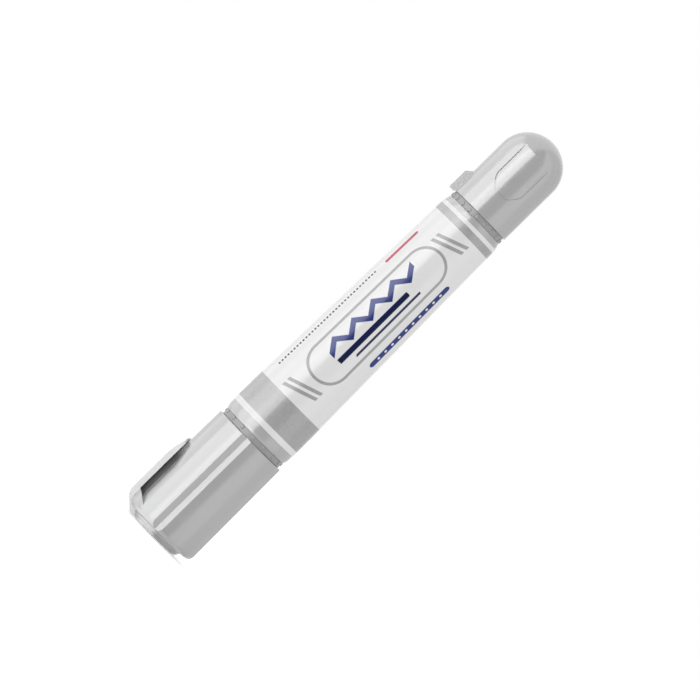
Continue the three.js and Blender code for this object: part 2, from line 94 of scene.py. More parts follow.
addCamera(cameraPlace)
bpy.context.scene.view_settings.view_transform = "Standard"
print("camera set")


# Modelling helpers
def takeUp(piece):
    clearSelection()
    piece.select_set(True)
    bpy.context.view_layer.objects.active = piece


def applyModifier(piece, kind, **values):
    takeUp(piece)
    modifier = piece.modifiers.new(kind.lower(), kind)
    for name, value in values.items():
        setattr(modifier, name, value)
    bpy.ops.object.modifier_apply(modifier=modifier.name)


def combine(piece, tool, operation):
    applyModifier(piece, "BOOLEAN", operation=operation, object=tool, solver="EXACT")
    bpy.data.objects.remove(tool)


def softenEdges(piece, width, angle=28, segments=3):
    limits = {"limit_method": "ANGLE", "angle_limit": radians(angle), "use_clamp_overlap": True}
    applyModifier(piece, "BEVEL", width=width, segments=segments, **limits)


def openMesh(piece, action="SELECT", kind="VERT"):
    takeUp(piece)
    bpy.ops.object.mode_set(mode="EDIT")
    bpy.ops.mesh.select_mode(type=kind)
    bpy.ops.mesh.select_all(action=action)


def closeMesh():
    bpy.ops.object.mode_set(mode="OBJECT")


def tidyMesh(piece, gap=0.001):
    openMesh(piece)
    bpy.ops.mesh.remove_doubles(threshold=gap)
    bpy.ops.mesh.normals_make_consistent(inside=False)
    closeMesh()


def applyPlace(piece):
    takeUp(piece)
    bpy.ops.object.transform_apply(location=True, rotation=True, scale=True)


def turnPiece(piece, angle):
    piece.rotation_euler = (0, 0, angle)
    applyPlace(piece)


def shiftPiece(piece, x=0, y=0):
    piece.location = (x, y, 0)
    applyPlace(piece)


def copyTurned(piece, angle):
    takeUp(piece)
    bpy.ops.object.duplicate()
    copied = bpy.context.object
    turnPiece(copied, angle)
    return copied


def joinAll(pieces):
    takeUp(pieces[0])
    for piece in pieces:
        piece.select_set(True)
    bpy.ops.object.join()
    return pieces[0]


def putLook(piece, look):
    piece.data.materials.clear()
    piece.data.materials.append(look)


def dressPiece(piece, look, body, node):
    putLook(piece, look)
    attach(piece, body)
    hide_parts(node)
    print("made", piece.name, len(piece.data.polygons), "faces")


def finishPiece(piece, look, body, node):
    piece.scale = (millimetre, millimetre, millimetre)
    applyPlace(piece)
    bpy.ops.object.shade_smooth_by_angle(angle=radians(32))
    applyModifier(piece, "WEIGHTED_NORMAL", keep_sharp=True, weight=60)
    dressPiece(piece, look, body, node)


def softCorners(points, steps=4):
    # A point may carry a third value, the length that its corner is rounded over
    line = []
    for number, point in enumerate(points):
        here = Vector(point[:2])
        reach = point[2] if len(point) > 2 else 0
        if not reach:
            line.append(here)
            continue
        before = Vector(points[number - 1][:2])
        after = Vector(points[(number + 1) % len(points)][:2])
        start = here + (before - here).normalized() * reach
        end = here + (after - here).normalized() * reach
        for step in range(steps + 1):
            t = step / steps
            line.append(start * (1 - t) ** 2 + here * 2 * t * (1 - t) + end * t**2)
    return line


def quarterEllipse(centreRadius, centreAlong, width, height, steps):
    # From the end of the height to the end of the width; a negative height points down the axis
    angles = [radians(90 * step / steps) for step in range(steps + 1)]
    return [(centreRadius + width * sin(a), centreAlong + height * cos(a)) for a in angles]


def drawOutline(name, line):
    # A plane merged to one point is drawn along the outline by extruding it
    piece = newObject(name, bpy.ops.mesh.primitive_plane_add, size=1)
    piece.data.name = name
    bpy.ops.object.mode_set(mode="EDIT")
    bpy.ops.mesh.select_mode(type="VERT")
    bpy.ops.mesh.merge(type="CENTER")
    here = Vector((0, 0, 0))
    for number, point in enumerate(line):
        there = Vector((point[0], 0, point[1]))
        if number:
            bpy.ops.mesh.extrude_region_move(TRANSFORM_OT_translate={"value": there - here})
        else:
            bpy.ops.transform.translate(value=there)
        here = there
    bpy.ops.mesh.select_all(action="SELECT")
    bpy.ops.mesh.remove_doubles(threshold=0.0005)
    return piece


def lathe(name, points, sides=144):
    # An outline that starts off the axis is a closed ring
    line = softCorners(points)
    if line[0][0] > 0:
        line.append(line[0])
    piece = drawOutline(name, line)
    bpy.ops.mesh.spin(steps=sides, angle=2 * pi, center=(0, 0, 0), axis=(0, 0, 1))
    tidyMesh(piece)
    return piece


def slab(name, points, width):
    line = softCorners(points)
    piece = drawOutline(name, [*line, line[0]])
    bpy.ops.mesh.edge_face_add()
    bpy.ops.transform.translate(value=(0, -width / 2, 0))
    bpy.ops.mesh.extrude_region_move(TRANSFORM_OT_translate={"value": (0, width, 0)})
    tidyMesh(piece)
    return piece


def selectEdges(piece, test):
    # The test takes an edge's middle and its direction; the piece is left in edit mode
    openMesh(piece, "DESELECT", "EDGE")
    closeMesh()
    for edge in piece.data.edges:
        start, end = (piece.data.vertices[v].co for v in edge.vertices)
        if (end - start).length > 1e-6:
            edge.select = test((start + end) / 2, (end - start).normalized())
    bpy.ops.object.mode_set(mode="EDIT")


# Node helpers
def addNode(tree, kind, **values):
    node = tree.nodes.new(kind)
    for name, value in values.items():
        setattr(node, name, value)
    return node


def feed(tree, socket, value):
    if isinstance(value, bpy.types.NodeSocket):
        tree.links.new(value, socket)
    else:
        socket.default_value = value


def fedNode(tree, kind, given, **values):
    node = addNode(tree, kind, **values)
    for socket, value in given.items():
        feed(tree, node.inputs[socket], value)
    return node.outputs


def reckon(tree, operation, *values, clamp=False):
    given = dict(enumerate(values))
    return fedNode(tree, "ShaderNodeMath", given, operation=operation, use_clamp=clamp)[0]


def product(tree, value, *factors):
    for factor in factors:
        value = reckon(tree, "MULTIPLY", value, factor)
    return value


def scaled(tree, value, factor, added):
    return reckon(tree, "MULTIPLY_ADD", value, factor, added)


def mixColour(tree, mask, first, second, blend="MIX"):
    given = {0: mask, 6: first, 7: second}
    return fedNode(tree, "ShaderNodeMix", given, data_type="RGBA", blend_type=blend)[2]


def noise(tree, place, scale, detail=2.0, roughness=0.5):
    given = {"Vector": place, "Scale": scale, "Detail": detail, "Roughness": roughness}
    return fedNode(tree, "ShaderNodeTexNoise", given)["Fac"]


def stretched(tree, place, scale, turn=(0, 0, 0)):
    return fedNode(tree, "ShaderNodeMapping", {"Vector": place, "Scale": scale, "Rotation": turn})[0]


def spread(tree, value, low, high, toLow=0.0, toHigh=1.0):
    given = dict(enumerate((value, low, high, toLow, toHigh)))
    return fedNode(tree, "ShaderNodeMapRange", given, interpolation_type="SMOOTHSTEP")[0]


def dotProduct(tree, first, second):
    return fedNode(tree, "ShaderNodeVectorMath", {0: first, 1: second}, operation="DOT_PRODUCT")["Value"]


def axisParts(tree, place):
    return fedNode(tree, "ShaderNodeSeparateXYZ", {0: place})


def newGroup(name, inputs, outputs):
    group = bpy.data.node_groups.new(name, "ShaderNodeTree")
    for label, value in inputs.items():
        kind = "NodeSocketVector" if isinstance(value, tuple) else "NodeSocketFloat"
        group.interface.new_socket(name=label, in_out="INPUT", socket_type=kind).default_value = value
    for label in outputs:
        group.interface.new_socket(name=label, in_out="OUTPUT", socket_type="NodeSocketFloat")
    return group, addNode(group, "NodeGroupInput").outputs, addNode(group, "NodeGroupOutput").inputs


def useGroup(tree, group, **values):
    return fedNode(tree, "ShaderNodeGroup", values, node_tree=group)


def objectPlace(tree):
    return addNode(tree, "ShaderNodeTexCoord").outputs["Object"]


# Moulded skin: a fine satin grain, the slow unevenness of a moulding and faint flow along its length
def makeMouldedSkin():
    group, given, put = newGroup("mouldedSkin", {"Grain": 9000.0, "Flow": 160.0}, ("Tone", "Gloss", "Height"))
    place = objectPlace(group)
    grain = noise(group, place, given["Grain"], 3.0, 0.6)
    slow = noise(group, stretched(group, place, (1.0, 1.0, 0.25)), given["Flow"], 2.0)
    flow = noise(group, stretched(group, place, (1.0, 1.0, 0.05)), 1400.0, 2.0)
    feed(group, put["Height"], scaled(group, slow, 0.6, product(group, grain, 0.4)))
    feed(group, put["Tone"], scaled(group, flow, 0.35, product(group, slow, 0.65)))
    feed(group, put["Gloss"], scaled(group, grain, 0.3, product(group, slow, 0.7)))
    return group


# Rubbed edges: where a rounded normal parts from the true one, broken up by a slow noise
def makeRubbedEdges():
    group, given, put = newGroup("rubbedEdges", {"Reach": 0.00025, "Amount": 1.0}, ("Mask",))
    rounded = fedNode(group, "ShaderNodeBevel", {"Radius": given["Reach"]}, samples=4)[0]
    true = addNode(group, "ShaderNodeNewGeometry").outputs["True Normal"]
    parting = spread(group, dotProduct(group, rounded, true), 0.995, 0.9)
    broken = spread(group, noise(group, objectPlace(group), 900.0, 3.0), 0.35, 0.65)
    worn = product(group, parting, scaled(group, broken, 0.6, 0.4))
    feed(group, put["Mask"], reckon(group, "MULTIPLY", worn, given["Amount"], clamp=True))
    return group


# Handling: hairline scratches in two directions and the dull bloom of finger marks
def makeHandling():
    group, given, put = newGroup("handling", {"Scratches": 1.0, "Bloom": 1.0}, ("Scratch", "Smudge"))
    place = objectPlace(group)
    lines = []
    for turn in ((0.5, 0.3, 0.2), (-0.4, 0.7, 1.1)):
        drawn = noise(group, stretched(group, place, (1.0, 0.9, 0.03), turn), 5200.0, 2.0)
        lines.append(spread(group, drawn, 0.70, 0.76))
    where = spread(group, noise(group, place, 140.0, 2.0), 0.45, 0.62)
    scratch = product(group, reckon(group, "MAXIMUM", *lines), where, given["Scratches"])
    feed(group, put["Scratch"], scratch)
    bloom = spread(group, noise(group, place, 110.0, 4.0, 0.65), 0.42, 0.7)
    feed(group, put["Smudge"], product(group, bloom, given["Bloom"]))
    return group


# Painted shade under the clip: the deeper under it, the darker the base colour, standing in for the clip's shadow.
# Lengths are in metres
def makePaintedClipShade():
    group, given, put = newGroup("paintedClipShade", {"Half Width": 0.0021, "Amount": 1.0}, ("Mask",))
    parts = axisParts(group, objectPlace(group))
    inwards = reckon(group, "SUBTRACT", given["Half Width"], reckon(group, "ABSOLUTE", parts["Y"]))
    mask = product(group, spread(group, inwards, 0.0, 0.0008), given["Amount"])
    for axis, low, high in (
        ("X", -0.0129, -0.01255),
        ("X", -0.0096, -0.0101),
        ("Z", 0.0046, 0.0054),
        ("Z", 0.0240, 0.0185),
    ):
        mask = product(group, mask, spread(group, parts[axis], low, high))
    feed(group, put["Mask"], mask)
    return group


mouldedSkin = makeMouldedSkin()
rubbedEdges = makeRubbedEdges()
handling = makeHandling()
paintedClipShade = makePaintedClipShade()


def newLook(name, **values):
    look = bpy.data.materials.new(name)
    look.use_nodes = True
    shader = look.node_tree.nodes["Principled BSDF"]
    for label, value in values.items():
        shader.inputs[label.replace("_", " ")].default_value = value
    return look, look.node_tree, shader


def bumpNormal(tree, shader, height, distance):
    given = {"Strength": 1.0, "Distance": distance, "Height": height}
    feed(tree, shader.inputs["Normal"], fedNode(tree, "ShaderNodeBump", given)[0])


def plasticLook(name, tint, worn, dull, rough, grain=9000.0, depth=0.000004, wear=0.5, paintedShade=None, **values):
    # tint and worn are colours, dull is the tint where the skin is slightly greyer
    look, tree, shader = newLook(name, **values)
    skin = useGroup(tree, mouldedSkin, Grain=grain, Flow=160.0)
    edges = useGroup(tree, rubbedEdges, Reach=0.00022, Amount=wear)
    marks = useGroup(tree, handling, Scratches=1.0, Bloom=1.0)
    colour = mixColour(tree, spread(tree, skin["Tone"], 0.35, 0.65), (*dull, 1), (*tint, 1))
    colour = mixColour(tree, edges["Mask"], colour, (*worn, 1))
    uneven = scaled(tree, skin["Gloss"], 0.10, rough - 0.05)
    # Painted shade under the clip: a darker base colour and a duller gloss where the clip shades the cap
    if paintedShade:
        shadeMask = useGroup(tree, paintedClipShade, Amount=1.0)["Mask"]
        colour = mixColour(tree, shadeMask, colour, (*paintedShade, 1))
        uneven = scaled(tree, shadeMask, 0.4, uneven)
    feed(tree, shader.inputs["Base Color"], colour)
    uneven = scaled(tree, marks["Smudge"], 0.05, uneven)
    feed(tree, shader.inputs["Roughness"], scaled(tree, marks["Scratch"], 0.12, uneven))
    bumpNormal(tree, shader, scaled(tree, marks["Scratch"], -0.3, skin["Height"]), depth)
    return look


# Silver-grey plastic of the caps and the barrel: pigment flakes give it a little metal
silverGrey = {
    "tint": (0.52, 0.52, 0.525),
    "dull": (0.50, 0.50, 0.505),
    "rough": 0.18,
    "Coat_Weight": 0.25,
    "Coat_Roughness": 0.06,
}
# Painted shade: the dark base colour under the clip, standing in for its shadow
underClip = (0.16, 0.16, 0.162)
capPlastic = plasticLook("capPlastic", worn=(0.62, 0.62, 0.62), paintedShade=underClip, Metallic=0.13, **silverGrey)
barrelPlastic = plasticLook(
    "barrelPlastic", worn=(0.60, 0.60, 0.60), Metallic=0.10, Sheen_Weight=0.35, Sheen_Roughness=0.35, **silverGrey
)
holderPlastic = plasticLook(
    "holderPlastic",
    tint=(0.39, 0.39, 0.395),
    worn=(0.46, 0.46, 0.465),
    dull=(0.36, 0.36, 0.365),
    rough=0.34,
    grain=6000.0,
    depth=0.000006,
)
sealPlastic = plasticLook(
    "sealPlastic",
    tint=(0.80, 0.81, 0.80),
    worn=(0.86, 0.86, 0.85),
    dull=(0.74, 0.75, 0.74),
    rough=0.42,
    wear=0.3,
    Subsurface_Weight=0.15,
    Subsurface_Scale=0.001,
)
valvePlastic = plasticLook(
    "valvePlastic",
    tint=(0.77, 0.78, 0.76),
    worn=(0.84, 0.84, 0.82),
    dull=(0.70, 0.71, 0.69),
    rough=0.40,
    wear=0.3,
)
stemPlastic = plasticLook(
    "stemPlastic",
    tint=(0.05, 0.07, 0.30),
    worn=(0.45, 0.47, 0.60),
    dull=(0.12, 0.15, 0.40),
    rough=0.30,
)
print("plastics made")

# Printed film. Distances on it are in millimetres: across from its front line towards the clip,
# and along from the foot of the marker
labelFront = radians(-84.3)
labelTurnsWith = 10.3  # radius that turns an angle into a distance across
blue = (0.010, 0.028, 0.20)
navy = (0.004, 0.009, 0.07)
red = (0.50, 0.03, 0.09)
frameGrey = (0.39, 0.39, 0.39)
bandGrey = (0.44, 0.44, 0.445)
inkBlack = (0.03, 0.03, 0.035)
labelPrint = {
    "bands": [(43.0, 51.6), (115.5, 117.7)],
    "silver": 0.08,
    "softness": 0.12,
    "frame": {"across": 0.0, "along": 84.0, "halfAcross": 5.9, "halfAlong": 23.5, "corner": 5.9, "line": 0.8},
    "slants": {"halfAcross": 4.6, "pitch": 1.9, "ink": 0.27, "lean": 0.35, "starts": [54.2, 109.2], "length": 3.8},
    "zigzag": {"across": 2.1, "along": 84.0, "swing": 1.4, "pitch": 3.6, "halfAcross": 0.75, "halfAlong": 16.2},
    "strokes": [
        {"across": -1.7, "along": 81.0, "halfAcross": 0.75, "halfAlong": 13.0, "colour": navy},
        {"across": -3.8, "along": 84.5, "halfAcross": 0.34, "halfAlong": 12.0, "colour": navy},
    ],
    "raggedness": 1.1,
    "strokeCorner": 0.45,  # share of the stroke's half width
    "pill": {"across": -9.6, "along": 88.0, "halfAcross": 1.0, "halfAlong": 15.0},
    "dots": {"across": -9.6, "from": 75.0, "to": 101.0, "pitch": 2.6, "radius": 0.42},
    "bar": {"across": 10.4, "along": 101.5, "halfAcross": 0.62, "halfAlong": 6.0},
    "ticks": {
        "across": 10.5, "halfAcross": 0.42, "halfAlong": 0.31, "corner": 0.1,
        "from": 56.0, "to": 92.0, "pitch": 1.1,
    },
}


def makeLabelPlace():
    group, given, put = newGroup("labelPlace", {"Radius": labelTurnsWith}, ("Across", "Along"))
    parts = axisParts(group, stretched(group, objectPlace(group), (1.0, 1.0, 1.0), (0, 0, -labelFront)))
    angle = reckon(group, "ARCTAN2", parts["Y"], parts["X"])
    feed(group, put["Across"], product(group, angle, product(group, given["Radius"], -1.0)))
    feed(group, put["Along"], product(group, parts["Z"], 1000.0))
    return group


def makeRoundedPatch():
    # How far a place on the film is outside a patch with rounded corners, less than 0 inside it
    sizes = {"Across": 0.0, "Along": 0.0, "Half Across": 1.0, "Half Along": 1.0, "Corner": 0.0}
    group, given, put = newGroup("roundedPatch", sizes, ("Distance",))
    sides = []
    for name in ("Across", "Along"):
        out = reckon(group, "SUBTRACT", reckon(group, "ABSOLUTE", given[name]), given["Half " + name])
        sides.append(reckon(group, "ADD", out, given["Corner"]))
    beyond = [reckon(group, "POWER", reckon(group, "MAXIMUM", side, 0.0), 2.0) for side in sides]
    length = reckon(group, "SQRT", reckon(group, "ADD", *beyond))
    inside = reckon(group, "MINIMUM", reckon(group, "MAXIMUM", *sides), 0.0)
    feed(group, put["Distance"], reckon(group, "SUBTRACT", reckon(group, "ADD", length, inside), given["Corner"]))
    return group


def makeLabelFilm(layout):
    look, tree, shader = newLook("labelFilm", IOR=1.5, Coat_Weight=0.15, Coat_Roughness=0.05)
    labelPlace = useGroup(tree, makeLabelPlace(), Radius=labelTurnsWith)
    across, along = labelPlace["Across"], labelPlace["Along"]
    patchGroup = makeRoundedPatch()

    def shifted(value, by):
        return reckon(tree, "SUBTRACT", value, by)

    def patch(acrossPlace, alongPlace, halfAcross, halfAlong, corner):
        sizes = {"Half Across": halfAcross, "Half Along": halfAlong, "Corner": corner}
        return useGroup(tree, patchGroup, Across=acrossPlace, Along=alongPlace, **sizes)["Distance"]

    def laidOut(size, corner, alongPlace=None):
        if alongPlace is None:
            alongPlace = shifted(along, size["along"])
        return patch(shifted(across, size["across"]), alongPlace, size["halfAcross"], size["halfAlong"], corner)

    def inked(distance):
        return reckon(tree, "MULTIPLY_ADD", distance, -1 / layout["softness"], 0.5, clamp=True)

    def between(start, end):
        return inked(patch(0.0, shifted(along, (start + end) / 2), 1.0, (end - start) / 2, 0.0))

    def nearest(value, start, pitch):
        # The distance to the nearest of a row of places
        part = reckon(tree, "FRACT", reckon(tree, "DIVIDE", shifted(value, start), pitch))
        return product(tree, shifted(part, 0.5), pitch)

    layers = []

    def printed(ink, *masks):
        layers.append((product(tree, *masks), ink))

    place = objectPlace(tree)
    rough = noise(tree, place, 2600.0, 3.0)
    mottle = noise(tree, place, 1500.0, 4.0, 0.6)
    slow = noise(tree, place, 120.0, 2.0)

    colour = mixColour(tree, slow, (0.835, 0.835, 0.835, 1), (0.86, 0.86, 0.858, 1))
    silver = 0.0
    for start, end in layout["bands"]:
        band = between(start, end)
        printed(bandGrey, band)
        silver = scaled(tree, band, layout["silver"], silver)
    feed(tree, shader.inputs["Metallic"], silver)  # the bands' ink has silver flakes in it

    outline = layout["frame"]
    edge = reckon(tree, "ABSOLUTE", laidOut(outline, outline["corner"]))
    printed(frameGrey, inked(shifted(edge, outline["line"] / 2)))

    slants = layout["slants"]
    for start in slants["starts"]:
        half = slants["length"] / 2
        leaning = scaled(tree, across, slants["lean"], along)
        field = patch(across, shifted(leaning, start + half), slants["halfAcross"], half, 0.0)
        away = reckon(tree, "ABSOLUTE", nearest(leaning, start, slants["pitch"]))
        stripe = inked(shifted(away, slants["pitch"] * slants["ink"]))
        printed(frameGrey, inked(field), stripe)

    # A sample line runs to and fro between two heights
    zigzag = layout["zigzag"]
    swing, pitch = zigzag["swing"], zigzag["pitch"]
    start, end = zigzag["along"] - zigzag["halfAlong"], zigzag["along"] + zigzag["halfAlong"]
    swung = reckon(tree, "DIVIDE", reckon(tree, "PINGPONG", shifted(along, start), pitch), pitch)
    middle = scaled(tree, swung, 2 * swing, zigzag["across"] - swing)
    steepness = cos(atan2(2 * swing, pitch))
    away = product(tree, reckon(tree, "ABSOLUTE", shifted(across, middle)), steepness)
    line = inked(shifted(away, zigzag["halfAcross"]))
    printed(blue, line, between(start, end))

    for stroke in layout["strokes"]:
        # A marker's stroke has straight sides and slightly ragged ends
        ragged = layout["raggedness"]
        ends = scaled(tree, rough, ragged, shifted(along, stroke["along"] + ragged / 2))
        body = laidOut(stroke, stroke["halfAcross"] * layout["strokeCorner"], ends)
        printed(stroke["colour"], inked(body))

    pill, dots = layout["pill"], layout["dots"]
    row = nearest(along, dots["from"], dots["pitch"])
    dot = inked(patch(shifted(across, dots["across"]), row, *[dots["radius"]] * 3))
    spared = reckon(tree, "SUBTRACT", 1.0, product(tree, dot, between(dots["from"], dots["to"])))
    printed(blue, inked(laidOut(pill, pill["halfAcross"])), spared)

    bar = layout["bar"]
    printed(red, inked(laidOut(bar, bar["halfAcross"])))

    ticks = layout["ticks"]
    tick = inked(laidOut(ticks, ticks["corner"], nearest(along, ticks["from"], ticks["pitch"])))
    printed(inkBlack, tick, between(ticks["from"], ticks["to"]))

    covered = 0.0
    for mask, ink in layers:
        colour = mixColour(tree, mask, colour, (*ink, 1))
        covered = reckon(tree, "MAXIMUM", covered, mask)
    patchy = spread(tree, mottle, 0.3, 0.7, 0.94, 1.03)
    inkTone = mixColour(tree, covered, (1, 1, 1, 1), patchy)
    feed(tree, shader.inputs["Base Color"], mixColour(tree, 1.0, colour, inkTone, "MULTIPLY"))

    marks = useGroup(tree, handling, Scratches=1.0, Bloom=1.0)
    uneven = scaled(tree, covered, 0.05, scaled(tree, marks["Smudge"], 0.06, 0.2))
    feed(tree, shader.inputs["Roughness"], uneven)
    film = noise(tree, stretched(tree, place, (1.0, 1.0, 0.2)), 260.0, 2.0)
    height = scaled(tree, covered, 0.12, scaled(tree, marks["Scratch"], -0.15, film))
    bumpNormal(tree, shader, height, 0.00002)
    return look


labelFilm = makeLabelFilm(labelPrint)
print("label printed")


# Pressed felt, soaked with blue paint that is paler where the fibres stand proud
def makeFelt():
    look, tree, shader = newLook("nibFelt", Sheen_Weight=0.35, Sheen_Roughness=0.5)
    place = objectPlace(tree)
    fibres = noise(tree, stretched(tree, place, (1.0, 1.0, 0.12)), 7000.0, 4.0, 0.65)
    clumps = noise(tree, place, 1800.0, 3.0)
    wet = scaled(tree, clumps, 0.5, product(tree, fibres, 0.5))
    colour = mixColour(tree, spread(tree, wet, 0.35, 0.65), (0.012, 0.022, 0.16, 1), (0.07, 0.11, 0.42, 1))
    feed(tree, shader.inputs["Base Color"], colour)
    feed(tree, shader.inputs["Roughness"], scaled(tree, fibres, 0.3, 0.55))
    bumpNormal(tree, shader, scaled(tree, clumps, 0.5, fibres), 0.00008)
    return look


# Steel: drawing lines along the wire, fine grinding on the balls
def makeSteel(name, tint, stretch, grain, rough):
    look, tree, shader = newLook(name, Metallic=1.0)
    place = objectPlace(tree)
    lines = noise(tree, stretched(tree, place, stretch), grain, 3.0, 0.6)
    stain = spread(tree, noise(tree, place, 700.0, 3.0), 0.5, 0.75)
    colour = mixColour(tree, stain, (*tint, 1), (tint[0] * 0.8, tint[1] * 0.82, tint[2] * 0.9, 1))
    feed(tree, shader.inputs["Base Color"], colour)
    feed(tree, shader.inputs["Roughness"], scaled(tree, lines, 0.2, rough))
    bumpNormal(tree, shader, lines, 0.000004)
    return look


nibFelt = makeFelt()
springSteel = makeSteel("springSteel", (0.66, 0.68, 0.69), (1.0, 1.0, 0.1), 9000.0, 0.2)
ballSteel = makeSteel("ballSteel", (0.70, 0.71, 0.72), (1.0, 1.0, 1.0), 12000.0, 0.12)
print("felt and steel made")


# Broad cap: its shell
broadCap = {
    "closedEnd": 1.8, "mouth": 36.4, "endRadius": 11.6, "mouthRadius": 11.277,
    "cornerInset": 1.4, "cornerLength": 1.9, "softening": 0.16,
    "bore": 9.72, "boreEnd": 25.2, "cavity": 8.1, "cavityEnd": 23.6, "endHole": 5.6, "endWall": 1.5,
    "snapGroove": 0.12, "snapPlace": 32.85,
    "fluteHalfWidth": 1.9, "fluteDepth": 0.95, "fluteAngles": (-90, 0, 90), "fluteMiddle": 20, "fluteLength": 70,
    # The floor under the clip, its rise and the ramp that ends it
    "floor": 9.4, "floorStart": 4.55, "floorSlope": 0.86, "floorTurn": 14.1,
    "floorRadius": 16.75, "ridge": 9.69, "floorEnds": (-8, 40),
    "riseStart": 17.5, "rise": 0.9, "rampStart": 24.2, "rampSlope": 0.2,
    # The slabs that cut it, and the notch that the clip's foot stands in
    "cutDeeper": 0.45, "cutOut": 26.3, "cutWidth": 26, "cutAside": 9.8,
    "notchWidth": 6.1, "notchStart": -1, "notchFloor": 9.4, "notchStep": 9.8, "notchStepStart": 4.7, "notchEnd": 7.3,
}


def broadCapRadius(size, along):
    start = size["closedEnd"] + size["cornerLength"]
    share = (along - start) / (size["mouth"] - start)
    return size["endRadius"] + (size["mouthRadius"] - size["endRadius"]) * share


def snapGroove(size):
    bore, place = size["bore"], size["snapPlace"]
    return [(bore, place + 0.5), (bore + size["snapGroove"], place), (bore, place - 0.5)]


def fluteCutter(size, angle):
    # A square bar on its edge, flattened to the flute's slope and leaned to the cap's taper
    middle, length = size["fluteMiddle"], size["fluteLength"]
    cutter = newObject("fluteCutter", bpy.ops.mesh.primitive_cylinder_add, vertices=4, radius=1, depth=length)
    cutter.scale = (2 * size["fluteDepth"], 2 * size["fluteHalfWidth"], 1)
    applyPlace(cutter)
    softenEdges(cutter, 0.12, segments=2)
    fall = size["endRadius"] - size["mouthRadius"]
    lean = atan2(fall, size["mouth"] - size["closedEnd"] - size["cornerLength"])
    cutter.rotation_euler = (0, -lean, 0)
    cutter.location = (broadCapRadius(size, middle) + size["fluteDepth"], 0, middle)
    applyPlace(cutter)
    turnPiece(cutter, radians(angle))
    return cutter


def underClipCut(size, side):
    # Each half is a slab that keeps to its own side. The floor that stays is gently rounded and rises a
    # little before the clip's tip
    floor, deeper, beyond = size["floor"], size["cutDeeper"], size["cutOut"]
    start, end, rise = size["floorStart"], size["rampStart"], size["rise"]
    outline = [
        (-floor + deeper, start - deeper * size["floorSlope"]),
        (-beyond, start + (beyond - floor) * size["floorSlope"]),
        (-beyond, end + (beyond - floor) * size["rampSlope"]),
        (-floor + deeper, end - (deeper + rise) * size["rampSlope"]),
    ]
    under = slab("underClip", outline, size["cutWidth"])
    shiftPiece(under, y=size["cutAside"] * side)
    turnPiece(under, radians(-size["floorTurn"] * side))
    bulge, (low, high) = size["floorRadius"], size["floorEnds"]
    foot, top = [(0, low), (bulge, low), (bulge, size["riseStart"])], [(bulge + rise, high), (0, high)]
    kept = lathe("roundedFloor", [*foot, (bulge + rise, end), *top], sides=240)
    shiftPiece(kept, x=bulge - size["ridge"])
    combine(under, kept, "DIFFERENCE")
    return under


def makeBroadCapShell(size):
    inset, length = size["cornerInset"], size["cornerLength"]
    corner = quarterEllipse(size["endRadius"] - inset, size["closedEnd"] + length, inset, -length, 7)
    wallTop = size["closedEnd"] + size["endWall"]
    shell = lathe(
        "broadCapShell",
        [
            (size["endHole"], size["closedEnd"], 0.1),
            *corner,
            (size["mouthRadius"], size["mouth"], 0.3),
            (size["bore"], size["mouth"], 0.25),
            *snapGroove(size),
            (size["bore"], size["boreEnd"]),
            (size["cavity"], size["cavityEnd"]),
            (size["cavity"], wallTop),
            (size["endHole"], wallTop),
        ],
        sides=120,
    )
    for angle in size["fluteAngles"]:
        combine(shell, fluteCutter(size, angle), "DIFFERENCE")
    for side in (-1, 1):
        combine(shell, underClipCut(size, side), "DIFFERENCE")
    inner, outer, beyond = size["notchFloor"], size["notchStep"], size["cutOut"]
    start, step, end = size["notchStart"], size["notchStepStart"], size["notchEnd"]
    outline = [(-inner, start), (-beyond, start), (-beyond, end), (-outer, end), (-outer, step), (-inner, step)]
    combine(shell, slab("notch", outline, size["notchWidth"]), "DIFFERENCE")
    tidyMesh(shell, 0.004)
    softenEdges(shell, size["softening"], angle=24)
    finishPiece(shell, capPlastic, "broad_cap", "broad_cap_shell")


makeBroadCapShell(broadCap)


# Broad cap: end plate and clip in one moulding
clip = {
    "width": 5.6, "tipLength": 6.15, "reach": 13.15, "foot": 8.85, "footRise": 3.75,
    "slopeStart": 19.5, "tip": 25.4, "rest": 11.508, "tipThickness": 0.55, "tipEdge": 0.5, "padStart": 24.1,
    "underside": 11.45, "armInner": 9.65, "armRise": 4.55, "armSlopeEnd": 6.356, "armEnd": 5.0,
    "ribWidth": 0.8, "ribInner": 9.72, "ribTop": 12.0, "ribKnee": 23.44, "ribEnd": 24.7,
    "hollow": 0.75, "hollowStart": 7.2, "hollowWidth": 4.0,
    "edge": 0.55, "draftFrom": 9.0, "draft": 0.055,
    "plateRadius": 8.6, "plateFlat": 7.45, "plateTop": 1.75, "plugRadius": 5.55, "plugTop": 3.15,
    # The gate's dimple in the plate's middle, then its edge: how far in from the radius, height, corner
    "dimple": [(0, 0.3), (0.5, 0.3, 0.1), (0.7, 0.1, 0.1), (1.5, 0.1, 0.1), (1.6, 0.0, 0.05)],
    "plateEdge": [(0.52, 0.8, 0.05), (0.5, 1.0, 0.05), (0, 1.6, 0.1)],
    "edgeLine": (11.9, 0.19),  # edges of the tip's slope stand further out than this line, which leans so much
}


